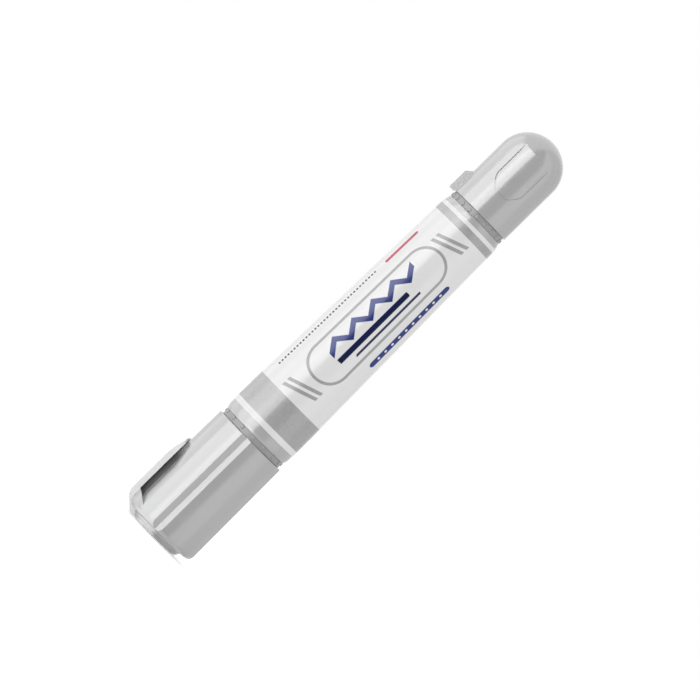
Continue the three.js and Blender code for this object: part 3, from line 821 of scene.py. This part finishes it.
def makeClip(size):
    reach, rest, underside, slopeStart = size["reach"], size["rest"], size["underside"], size["slopeStart"]
    tipStart, armEnd = size["tip"] - size["tipEdge"], size["armEnd"]
    side = slab(
        "broadCapClip",
        [
            (-armEnd, 0.0),
            (-size["foot"], 0.0, 0.5),
            (-reach, size["footRise"], 1.6),
            (-reach, slopeStart, 2.0),
            (-rest - size["tipThickness"], tipStart, 0.2),
            (-rest, size["tip"]),
            (-rest, size["padStart"], 0.3),
            (-underside, slopeStart),
            (-underside, size["armSlopeEnd"], 0.5),
            (-size["armInner"], size["armRise"]),
            (-size["armInner"], size["plateTop"]),
            (-armEnd, size["plateTop"]),
        ],
        size["width"] + 1,
    )
    half = size["width"] / 2
    roundTip = quarterEllipse(0, slopeStart, half, size["tipLength"], 9)
    mirrored = [(-across, along) for across, along in roundTip]
    seen = slab("clipSeen", [(half, -1), *reversed(roundTip), *mirrored[1:], (-half, -1)], 40)
    turnPiece(seen, pi / 2)
    combine(side, seen, "INTERSECT")
    tidyMesh(side)
    # Draft: the sides lean in towards the outer face
    for vertex in side.data.vertices:
        vertex.co.y *= 1 - size["draft"] * max(0, -vertex.co.x - size["draftFrom"])

    def outerLongEdge(middle, direction):
        # Along the foot, the outer face and the slope to the tip
        out = -middle.x
        footLine = size["foot"] + middle.z * (reach - size["foot"]) / size["footRise"]
        slopeLine = size["edgeLine"][0] + (tipStart - middle.z) * size["edgeLine"][1]
        onFoot = middle.z < 5 and abs(out - footLine) < 0.25
        onOuter = out > reach - 0.02 and 3 < middle.z < 21
        onSlope = middle.z > 18 and out > slopeLine
        return abs(direction.y) < 0.8 and abs(middle.y) > 0.9 and (onOuter or onFoot or onSlope)

    selectEdges(side, outerLongEdge)
    bpy.ops.mesh.bevel(offset=size["edge"], segments=3, profile=0.6, affect="EDGES", clamp_overlap=True)
    closeMesh()
    # The underside is hollowed out, with a thin rib left along its middle
    deep = underside + size["hollow"] + 0.3
    low, high = size["hollowStart"], slopeStart - 0.6
    hollow = slab("clipHollow", [(-9, low), (-deep, low, 0.4), (-deep, high, 0.4), (-9, high)], size["hollowWidth"])
    combine(side, hollow, "DIFFERENCE")
    ribOutline = [
        (-size["ribInner"], size["armRise"]),
        (-deep - 0.1, size["armRise"]),
        (-deep - 0.1, slopeStart - 0.5),
        (-size["ribTop"], size["ribKnee"]),
        (-rest - 0.1, size["ribEnd"]),
        (-size["ribInner"], size["ribEnd"]),
    ]
    combine(side, slab("clipRib", ribOutline, size["ribWidth"]), "UNION")
    plateRadius, plugRadius = size["plateRadius"], size["plugRadius"]
    plate = lathe(
        "endPlate",
        [
            *size["dimple"],
            (size["plateFlat"], 0.0, 0.25),
            *[(plateRadius - inwards, height, corner) for inwards, height, corner in size["plateEdge"]],
            (plateRadius, size["plateTop"]),
            (plugRadius, size["plateTop"]),
            (plugRadius, size["plugTop"], 0.3),
            (0, size["plugTop"]),
        ],
        sides=120,
    )
    combine(plate, side, "UNION")
    plate.name = plate.data.name = "broadCapClip"
    tidyMesh(plate, 0.004)
    softenEdges(plate, 0.12, angle=30, segments=2)
    finishPiece(plate, capPlastic, "broad_cap", "broad_cap_clip")


makeClip(clip)


# Inner seals: soft cups that close on the nib holders' collars
sealOutlines = {
    "broadCapInnerSeal": [
        (0, 4.15), (4.85, 4.15, 0.4), (4.85, 17.45), (4.65, 17.95, 0.2), (4.85, 18.45),
        (4.85, 19.15, 0.15), (5.7, 19.15, 0.2), (5.7, 4.35, 0.15),
        (8.05, 4.35, 0.2), (8.05, 3.35, 0.2), (0, 3.35),
    ],
    "mediumCapInnerSeal": [
        (0, 145.8), (3.65, 145.8, 0.4), (3.65, 134.75), (3.45, 134.25, 0.2), (3.65, 133.75),
        (3.65, 133.05, 0.15), (4.5, 133.05, 0.2), (4.5, 143.15, 0.15), (7.23, 143.15, 0.2),
        (7.23, 144.15, 0.2), (4.5, 144.15, 0.15), (4.5, 146.6, 0.4), (0, 146.6),
    ],
}


def makeSeal(name, body):
    seal = lathe(name, sealOutlines[name], sides=96)
    finishPiece(seal, sealPlastic, body, body + "_inner_seal")


makeSeal("broadCapInnerSeal", "broad_cap")
makeSeal("mediumCapInnerSeal", "medium_cap")


# Domed cap: a shallow thumb channel front and back, and a lug that stops the marker rolling
domedCap = {
    "mouth": 122.4, "radius": 9.5, "domeStart": 140.7, "domeRise": 9.3, "softening": 0.14,
    "bore": 8.02, "boreEnd": 128.55, "cavity": 7.28, "cavityStart": 129.75, "shoulder": 144.2,
    "innerDome": 7.7, "innerAngle": 27.0, "snapGroove": 0.12, "snapPlace": 124.95,
    "channelStart": 129.7, "channelFlare": 3.2, "channelEndHalf": 2.1, "channelHalf": 4.8,
    "channelDepth": 0.24, "channelRunOut": 1.9, "channelEnd": 146.0, "groove": 0.5, "grooveDepth": 0.04,
    "lugHeight": 1.6, "lugWidth": 4.6, "lugLength": 5.6, "lugBeyond": 0.4, "lugSlope": 1.4,
    "lugDraft": 0.05, "lugInside": 0.8,
}


def channelCore(size, deeper):
    # What is left standing inside the channel is a thinner cap with a taller dome, so the channel runs out
    radius = size["radius"] - size["channelDepth"] - deeper
    rise = size["domeRise"] + size["channelRunOut"] - deeper
    dome = quarterEllipse(0, size["domeStart"], radius, rise, 26)
    return lathe("channelCore", [(0, size["mouth"] - 2), (radius, size["mouth"] - 2), *reversed(dome)], sides=128)


def channelSlab(size, within):
    end, wide = size["channelEndHalf"] - within * 0.6, size["channelHalf"] - within
    first = size["channelStart"] + within
    flared = size["channelStart"] + size["channelFlare"] + within * 0.5
    last = size["channelEnd"] - within
    half = [(end, first, 1.0), (wide, flared, 1.4), (wide, last, 1.2)]
    mirrored = [(-across, along, corner) for across, along, corner in reversed(half)]
    return slab("channel", [*half, *mirrored], 40 + within)


def makeLug(size):
    foot, edge = size["mouth"] - size["lugBeyond"], size["mouth"] + 0.02
    top, slopeEnd = size["mouth"] + size["lugLength"], size["mouth"] + size["lugLength"] + size["lugSlope"]
    radius, out, inside = size["radius"], size["radius"] + size["lugHeight"], size["radius"] - size["lugInside"]
    shoulder = radius - 0.1
    outline = [(-inside, edge), (-shoulder, edge), (-shoulder, foot), (-out, foot), (-out, top)]
    lug = slab("lug", [*outline, (-radius - 0.02, slopeEnd), (-inside, slopeEnd)], size["lugWidth"])
    for vertex in lug.data.vertices:
        vertex.co.y *= 1 - size["lugDraft"] * (-vertex.co.x - inside)
    return lug


def makeDomedCapShell(size):
    start, inside = size["domeStart"], size["innerDome"]
    inner = []
    for step in range(7):
        angle = radians(90 + (size["innerAngle"] - 90) * step / 6)
        inner.append((inside * cos(angle), start + inside * sin(angle)))
    dome = quarterEllipse(0, start, size["radius"], size["domeRise"], 26)
    for curve in (inner, dome):
        curve[0] = (0, curve[0][1])
    shell = lathe(
        "domedCapShell",
        [
            *inner,
            (size["cavity"], size["shoulder"]),
            (size["cavity"], size["cavityStart"]),
            (size["bore"], size["boreEnd"]),
            *snapGroove(size),
            (size["bore"], size["mouth"], 0.25),
            (size["radius"], size["mouth"], 0.25),
            *reversed(dome),
        ],
        sides=128,
    )
    combine(shell, makeLug(size), "UNION")
    channel = channelSlab(size, 0)
    combine(channel, channelCore(size, 0), "DIFFERENCE")
    combine(shell, channel, "DIFFERENCE")
    # A fine groove follows the channel's edge
    groove = channelSlab(size, 0)
    combine(groove, channelSlab(size, size["groove"]), "DIFFERENCE")
    combine(groove, channelCore(size, size["grooveDepth"]), "DIFFERENCE")
    combine(shell, groove, "DIFFERENCE")
    tidyMesh(shell, 0.004)
    softenEdges(shell, size["softening"], angle=24)
    turnPiece(shell, barrelTurn)
    finishPiece(shell, capPlastic, "medium_cap", "medium_cap_shell")


makeDomedCapShell(domedCap)


# Barrel: a thin tube drawn in at its ends
barrelTube = {
    "foot": 38.2, "top": 120.6, "broadRadius": 11.05, "mediumRadius": 9.55,
    "drawnIn": 0.45, "drawnLength": 1.1, "wall": 1.45, "spigot": 8,
}


def barrelRadius(size, along):
    start, end = size["foot"] + size["drawnLength"], size["top"] - size["drawnLength"]
    return size["broadRadius"] + (size["mediumRadius"] - size["broadRadius"]) * (along - start) / (end - start)


def makeBarrel(size):
    broad, medium, drawnIn, length = (size[name] for name in ("broadRadius", "mediumRadius", "drawnIn", "drawnLength"))
    wall, spigot, foot, top = (size[name] for name in ("wall", "spigot", "foot", "top"))
    outside = [
        (broad - drawnIn, foot, 0.15),
        (broad, foot + length, 0.9),
        (medium, top - length, 0.9),
        (medium - drawnIn, top, 0.15),
    ]
    bore = [(medium - wall, top), (medium - wall, top - spigot), (broad - wall, foot + spigot)]
    tube = lathe("barrelTube", [(broad - wall, foot), *outside, *bore], sides=160)
    finishPiece(tube, barrelPlastic, "barrel", "barrel")


makeBarrel(barrelTube)


# Printed film round the barrel, lapped over itself at the back
filmSleeve = {
    "from": 41.3, "to": 118.9, "gap": 0.02, "thickness": 0.14,
    "lapAngle": 95, "lapWidth": 9, "lapRise": 0.06, "lapSkin": 0.08,  # what lies further out is the outer skin
}


def makeFilm(size):
    points = []
    for along, out in ((size["from"], 0), (size["from"], 1), (size["to"], 1), (size["to"], 0)):
        radius = barrelRadius(barrelTube, along) + size["gap"] + out * size["thickness"]
        points.append((radius, along, 0.05) if out else (radius, along))
    film = lathe("labelFilm", points, sides=180)
    # The lap is raised by scaling its outer skin away from the axis
    lap = radians(size["lapAngle"])
    openMesh(film, "DESELECT")
    closeMesh()
    for vertex in film.data.vertices:
        aroundBy = (atan2(vertex.co.y, vertex.co.x) - lap + pi) % (2 * pi) - pi
        skin = hypot(vertex.co.x, vertex.co.y) - barrelRadius(barrelTube, vertex.co.z)
        vertex.select = abs(aroundBy) < radians(size["lapWidth"]) and skin > size["gap"] + size["lapSkin"]
    bpy.ops.object.mode_set(mode="EDIT")
    grow = 1 + size["lapRise"] / barrelTube["broadRadius"]
    bpy.ops.transform.resize(value=(grow, grow, 1), center_override=(0, 0, 0))
    closeMesh()
    finishPiece(film, labelFilm, "barrel", "label_sleeve")


makeFilm(filmSleeve)


# Nib holders: their ribbed necks show between each cap and the barrel
holders = {
    "broadNibHolder": {
        "node": "broad_nib_holder",
        "outline": [
            (5.4, 46.2), (6.4, 46.2), (6.4, 32.2), (8.35, 32.2), (8.35, 46.2), (9.15, 46.2), (9.55, 45.8),
            (9.55, 38.15), (10.4, 38.15), (10.4, 36.45, 0.1), (9.55, 36.45, 0.1), (9.55, 33.45),
            (9.67, 32.85, 0.3), (9.55, 32.25), (9.55, 29.25, 0.25), (8.85, 29.25, 0.2), (8.55, 28.2, 0.2),
            (5.2, 19.75, 0.2), (4.6, 19.75, 0.15), (4.6, 14.15, 0.45), (3.25, 14.15, 0.1), (3.25, 36.7),
            (5.4, 36.7),
        ],
        "ribs": {"radius": 10.65, "start": 37.1, "height": 1.05, "count": 16},
    },
    "mediumNibHolder": {
        "node": "medium_nib_holder",
        "outline": [
            (5.4, 112.6), (7.65, 112.6), (8.05, 113.0), (8.05, 120.65), (8.95, 120.65), (8.95, 122.35, 0.1),
            (7.85, 122.35, 0.1), (7.85, 124.35), (7.97, 124.95, 0.3), (7.85, 125.55), (7.85, 127.55, 0.25),
            (7.35, 127.55, 0.2), (3.9, 132.55, 0.2), (3.4, 132.55, 0.15), (3.4, 137.75, 0.4),
            (2.05, 137.75, 0.1), (2.05, 122.1), (5.4, 122.1),
        ],
        "ribs": {"radius": 9.2, "start": 120.65, "height": 1.15, "count": 20},
    },
}
ribSection = {"depth": 0.7, "width": 0.9, "edge": 0.26}


def neckRibs(size):
    depth, height, count = ribSection["depth"], size["height"], size["count"]
    place = (size["radius"] - depth / 2, 0, size["start"] + height / 2)
    rib = newObject("rib", bpy.ops.mesh.primitive_cube_add, size=1, location=place)
    rib.scale = (depth, ribSection["width"], height)
    applyPlace(rib)
    softenEdges(rib, ribSection["edge"])
    return [rib] + [copyTurned(rib, 2 * pi * number / count) for number in range(1, count)]


for name, size in holders.items():
    holder = joinAll([lathe(name, size["outline"], sides=120), *neckRibs(size["ribs"])])
    turnPiece(holder, barrelTurn)
    finishPiece(holder, holderPlastic, "barrel", size["node"])

# Nibs: a slanted chisel and a bullet of pressed felt
broadNib = {"radius": 3.2, "back": 34.2, "tip": 8.75, "chiselLength": 5.0, "edgeThickness": 1.8, "slant": 1.9}
mediumNib = {"radius": 2.0, "back": 124.6, "tip": 141.2, "bulletLength": 2.9}


def trimPiece(piece, through, outwards):
    # Cuts away what lies beyond a plane and closes the cut
    openMesh(piece)
    bpy.ops.mesh.bisect(plane_co=through, plane_no=outwards, use_fill=True, clear_outer=True)
    closeMesh()


def makeBroadNib(size):
    width, radius, tip, back = size["edgeThickness"] / 2, size["radius"], size["tip"], size["back"]
    nib = lathe("broadNib", [(0, tip - 1), (radius, tip - 1), (radius, back, 0.3), (0, back)], sides=72)
    for side in (1, -1):
        slope = Vector((0, side * size["chiselLength"], -(radius - width)))
        trimPiece(nib, (0, side * width, tip), slope.normalized())
    trimPiece(nib, (-radius, 0, tip), Vector((size["slant"], 0, -2 * radius)).normalized())
    softenEdges(nib, 0.22, angle=25)
    turnPiece(nib, barrelTurn)
    finishPiece(nib, nibFelt, "broad_nib", "broad_nib")


def makeMediumNib(size):
    radius, back = size["radius"], size["back"]
    bullet = quarterEllipse(0, size["tip"] - size["bulletLength"], radius, size["bulletLength"], 14)
    nib = lathe("mediumNib", [(0, back), (radius, back, 0.3), *reversed(bullet)], sides=72)
    finishPiece(nib, nibFelt, "medium_nib", "medium_nib")


makeBroadNib(broadNib)
makeMediumNib(mediumNib)

# Valve springs: the CAD coils, copied into pieces of their own and finished in steel
springs = {
    "broadValveSpring": {"node": "broad_valve_spring", "joint": "broad_nib_press", "fixedEnd": 0.04954},
    "mediumValveSpring": {"node": "medium_valve_spring", "joint": "medium_nib_press", "fixedEnd": 0.10926},
}


def makeSpring(name, size):
    coil = bpy.data.objects.new(name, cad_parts[size["node"]].data.copy())
    coil.data.name = name
    bpy.context.scene.collection.objects.link(coil)
    tidyMesh(coil, 0.000001)
    bpy.ops.object.shade_smooth_by_angle(angle=radians(50))
    dressPiece(coil, springSteel, "barrel", size["node"])
    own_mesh(coil)


for name, size in springs.items():
    makeSpring(name, size)

# The valve units and the mixing balls keep their CAD shapes, and get their finishes here
keptLooks = {
    "valve_housing": valvePlastic,
    "spring_retainer": valvePlastic,
    "valve_stem": stemPlastic,
    "mixing_ball": ballSteel,
}
for name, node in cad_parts.items():
    for part, look in keptLooks.items():
        if part in name:
            putLook(node, look)
print("inner pieces finished")

# Floor: white to the camera, with the marker's own faint shadow on it
studio = {
    "floorSize": 6.0,
    "floorDrop": 0.0002,  # just under the marker's foot
    "floorOwn": 0.42,
    "floorTint": 0.90,
    "roomLight": 1.22,
    "darkGloss": (27.0, 37.0, 0.95),  # from, to, share
    "darkSoft": (22.0, 48.0, 0.5),
    "darkBack": (70.0, 100.0, 0.22),
    "lowSide": 115.0,
    "lowSoft": (30.0, 45.0, 0.35),
    "lowGloss": (30.0, 45.0, 0.4),
    "openBelow": (-0.4, -0.75),  # heights of the directions from which reflections are bright all round
    "litFrom": (-8.0, -18.0),
    "litTo": (-125.0, -165.0),
    "litBelow": 2.6,  # how much brighter they are there on the lit side
}


def seenDirectly(tree):
    path = addNode(tree, "ShaderNodeLightPath").outputs
    seen = reckon(tree, "MAXIMUM", path["Is Camera Ray"], path["Is Glossy Ray"])
    return reckon(tree, "MAXIMUM", seen, path["Is Transmission Ray"])


def makeFloor(size):
    place = (0, 0, -size["floorDrop"])
    floor = newObject("floor", bpy.ops.mesh.primitive_plane_add, size=size["floorSize"], location=place)
    look, tree, shader = newLook("floorPaper", Roughness=0.9, Specular_IOR_Level=0.0, Emission_Color=(1, 1, 1, 1))
    paper = noise(tree, objectPlace(tree), 900.0, 3.0)
    tint = size["floorTint"]
    colour = mixColour(tree, paper, (tint * 0.97,) * 3 + (1,), (tint, tint, tint, 1))
    feed(tree, shader.inputs["Base Color"], colour)
    feed(tree, shader.inputs["Emission Strength"], product(tree, seenDirectly(tree), size["floorOwn"]))
    floor.data.materials.append(look)
    floor.visible_glossy = False  # reflections look on to the white room behind it


def makeWorld(size):
    world = bpy.data.worlds.new("studioRoom")
    world.use_nodes = True
    bpy.context.scene.world = world
    tree = world.node_tree
    room = tree.nodes["Background"]
    backdrop = addNode(tree, "ShaderNodeBackground")
    for ground in (room, backdrop):
        ground.inputs["Color"].default_value = (1, 1, 1, 1)
    # The room is dimmer where the photographer stands, behind the marker and low on one side
    direction = addNode(tree, "ShaderNodeTexCoord").outputs["Generated"]
    around = reckon(tree, "ARCTAN2", *[dotProduct(tree, direction, axis) for axis in (aside, towardsCamera)])
    front = reckon(tree, "ABSOLUTE", around)
    back = reckon(tree, "SUBTRACT", pi, front)
    low = reckon(tree, "ABSOLUTE", reckon(tree, "SUBTRACT", around, radians(size["lowSide"])))

    def strip(away, start, end, share=1.0):
        return spread(tree, away, radians(start), radians(end), 1 - share, 1.0)

    bright = product(tree, strip(front, *size["darkGloss"]), strip(low, *size["lowGloss"]))
    # Reflections of what lies below are bright all round, and most of all on the lit side
    below = spread(tree, axisParts(tree, direction)["Z"], *size["openBelow"])
    unlit = strip(around, *size["litTo"])
    lit = product(tree, strip(around, *size["litFrom"]), reckon(tree, "SUBTRACT", 1.0, unlit))
    bright = reckon(tree, "MAXIMUM", bright, product(tree, below, scaled(tree, lit, size["litBelow"], 1.0)))
    soft = product(tree, strip(front, *size["darkSoft"]), strip(back, *size["darkBack"]), strip(low, *size["lowSoft"]))
    feed(tree, room.inputs["Strength"], product(tree, soft, size["roomLight"]))
    camera = addNode(tree, "ShaderNodeLightPath").outputs["Is Camera Ray"]
    feed(tree, backdrop.inputs["Strength"], reckon(tree, "MAXIMUM", camera, bright))
    given = {0: seenDirectly(tree), 1: room.outputs[0], 2: backdrop.outputs[0]}
    feed(tree, tree.nodes["World Output"].inputs["Surface"], fedNode(tree, "ShaderNodeMixShader", given)[0])


makeFloor(studio)
makeWorld(studio)

# Lamps. Angles are measured from the camera's direction towards the clip's side. A mirrored one shows in
# reflections and gives no other light, and the others give light that no reflection shows
lamps = {
    "nearPanel": {"angle": 30.5, "rise": 0.0, "away": 0.5, "size": (0.287, 0.9), "radiance": 3.5, "mirrored": True},
    "farPanel": {"angle": 65.7, "rise": 0.0, "away": 0.5, "size": (0.35, 0.9), "radiance": 2.4, "mirrored": True},
    "edgePanel": {"angle": 107.0, "rise": 0.0, "away": 0.5, "size": (0.414, 0.9), "radiance": 0.9, "mirrored": True},
    "softKey": {"angle": 60.0, "rise": 10.0, "away": 0.7, "size": (0.6, 0.6), "radiance": 0.15, "mirrored": False},
}
aimHeight = 0.075


def addLamp(name, size):
    turn, rise = radians(size["angle"]), radians(size["rise"])
    level = towardsCamera * cos(turn) - aside * sin(turn)
    direction = level * cos(rise) + upAxis * sin(rise)
    lamp = newObject(name, bpy.ops.object.light_add, type="AREA")
    lamp.data.shape = "RECTANGLE"
    lamp.data.size, lamp.data.size_y = size["size"]
    lamp.data.energy = size["radiance"] * pi * size["size"][0] * size["size"][1]
    across = upAxis.cross(direction).normalized()
    turned = Matrix((across, direction.cross(across), direction)).transposed().to_4x4()
    lamp.matrix_world = Matrix.Translation(upAxis * aimHeight + direction * size["away"]) @ turned
    lamp.visible_camera = False
    lamp.visible_glossy = size["mirrored"]
    lamp.visible_diffuse = not size["mirrored"]


for name, size in lamps.items():
    addLamp(name, size)
print("floor, room and lamps set")
